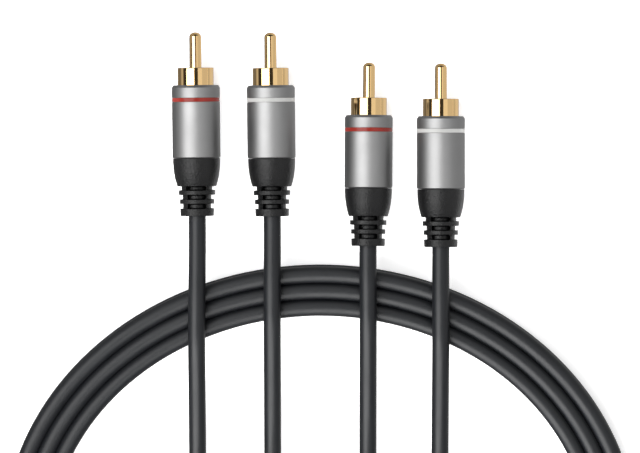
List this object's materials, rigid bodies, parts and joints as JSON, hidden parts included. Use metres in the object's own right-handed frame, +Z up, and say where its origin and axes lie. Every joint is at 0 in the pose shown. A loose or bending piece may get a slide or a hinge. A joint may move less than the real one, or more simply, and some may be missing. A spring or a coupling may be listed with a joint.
{
  "type": "stereo phono audio cable",
  "caption": "Stereo phono cable: red and white banded gold-tipped plugs on each end of two black cables, wound together in a flat oval coil.",
  "frame": {"origin": "on the surface that the lead lies on, at the middle of the four plugs", "axes": "+Z up from the surface, +Y the way the plugs' pins point, +X across the four plugs from the left pair to the right pair"},
  "size_m": [0.1698, 0.2123, 0.0146],
  "materials": {
    "gold_plated_brass": "polished gold plate",
    "satin_shell": "satin, fine turned",
    "red_band": "satin red lacquer",
    "white_band": "satin white lacquer",
    "insulator_plastic": "moulded, natural white",
    "boot_moulding": "moulded, fine grained, satin black",
    "filler_plastic": "cast",
    "cable_jacket": "extruded soft PVC, satin dark grey",
    "core_plastic": "extruded",
    "copper": "bare copper strand"
  },
  "bodies": {
    "root": {"left_red_centre_pin": "gold_plated_brass", "left_red_insulator": "insulator_plastic", "left_red_outer_contact": "gold_plated_brass", "left_red_shell": "satin_shell", "left_red_colour_ring": "red_band", "left_red_filler": "filler_plastic", "left_red_boot": "boot_moulding", "left_red_core_insulation": "core_plastic", "left_red_conductor": "copper", "left_white_centre_pin": "gold_plated_brass", "left_white_insulator": "insulator_plastic", "left_white_outer_contact": "gold_plated_brass", "left_white_shell": "satin_shell", "left_white_colour_ring": "white_band", "left_white_filler": "filler_plastic", "left_white_boot": "boot_moulding", "left_white_core_insulation": "core_plastic", "left_white_conductor": "copper", "right_red_centre_pin": "gold_plated_brass", "right_red_insulator": "insulator_plastic", "right_red_outer_contact": "gold_plated_brass", "right_red_shell": "satin_shell", "right_red_colour_ring": "red_band", "right_red_filler": "filler_plastic", "right_red_boot": "boot_moulding", "right_red_core_insulation": "core_plastic", "right_red_conductor": "copper", "right_white_centre_pin": "gold_plated_brass", "right_white_insulator": "insulator_plastic", "right_white_outer_contact": "gold_plated_brass", "right_white_shell": "satin_shell", "right_white_colour_ring": "white_band", "right_white_filler": "filler_plastic", "right_white_boot": "boot_moulding", "right_white_core_insulation": "core_plastic", "right_white_conductor": "copper", "left_red_cable_end": "cable_jacket", "left_white_cable_end": "cable_jacket", "right_red_cable_end": "cable_jacket", "right_white_cable_end": "cable_jacket", "cable_coil": "cable_jacket"}
  },
  "joints": []
}
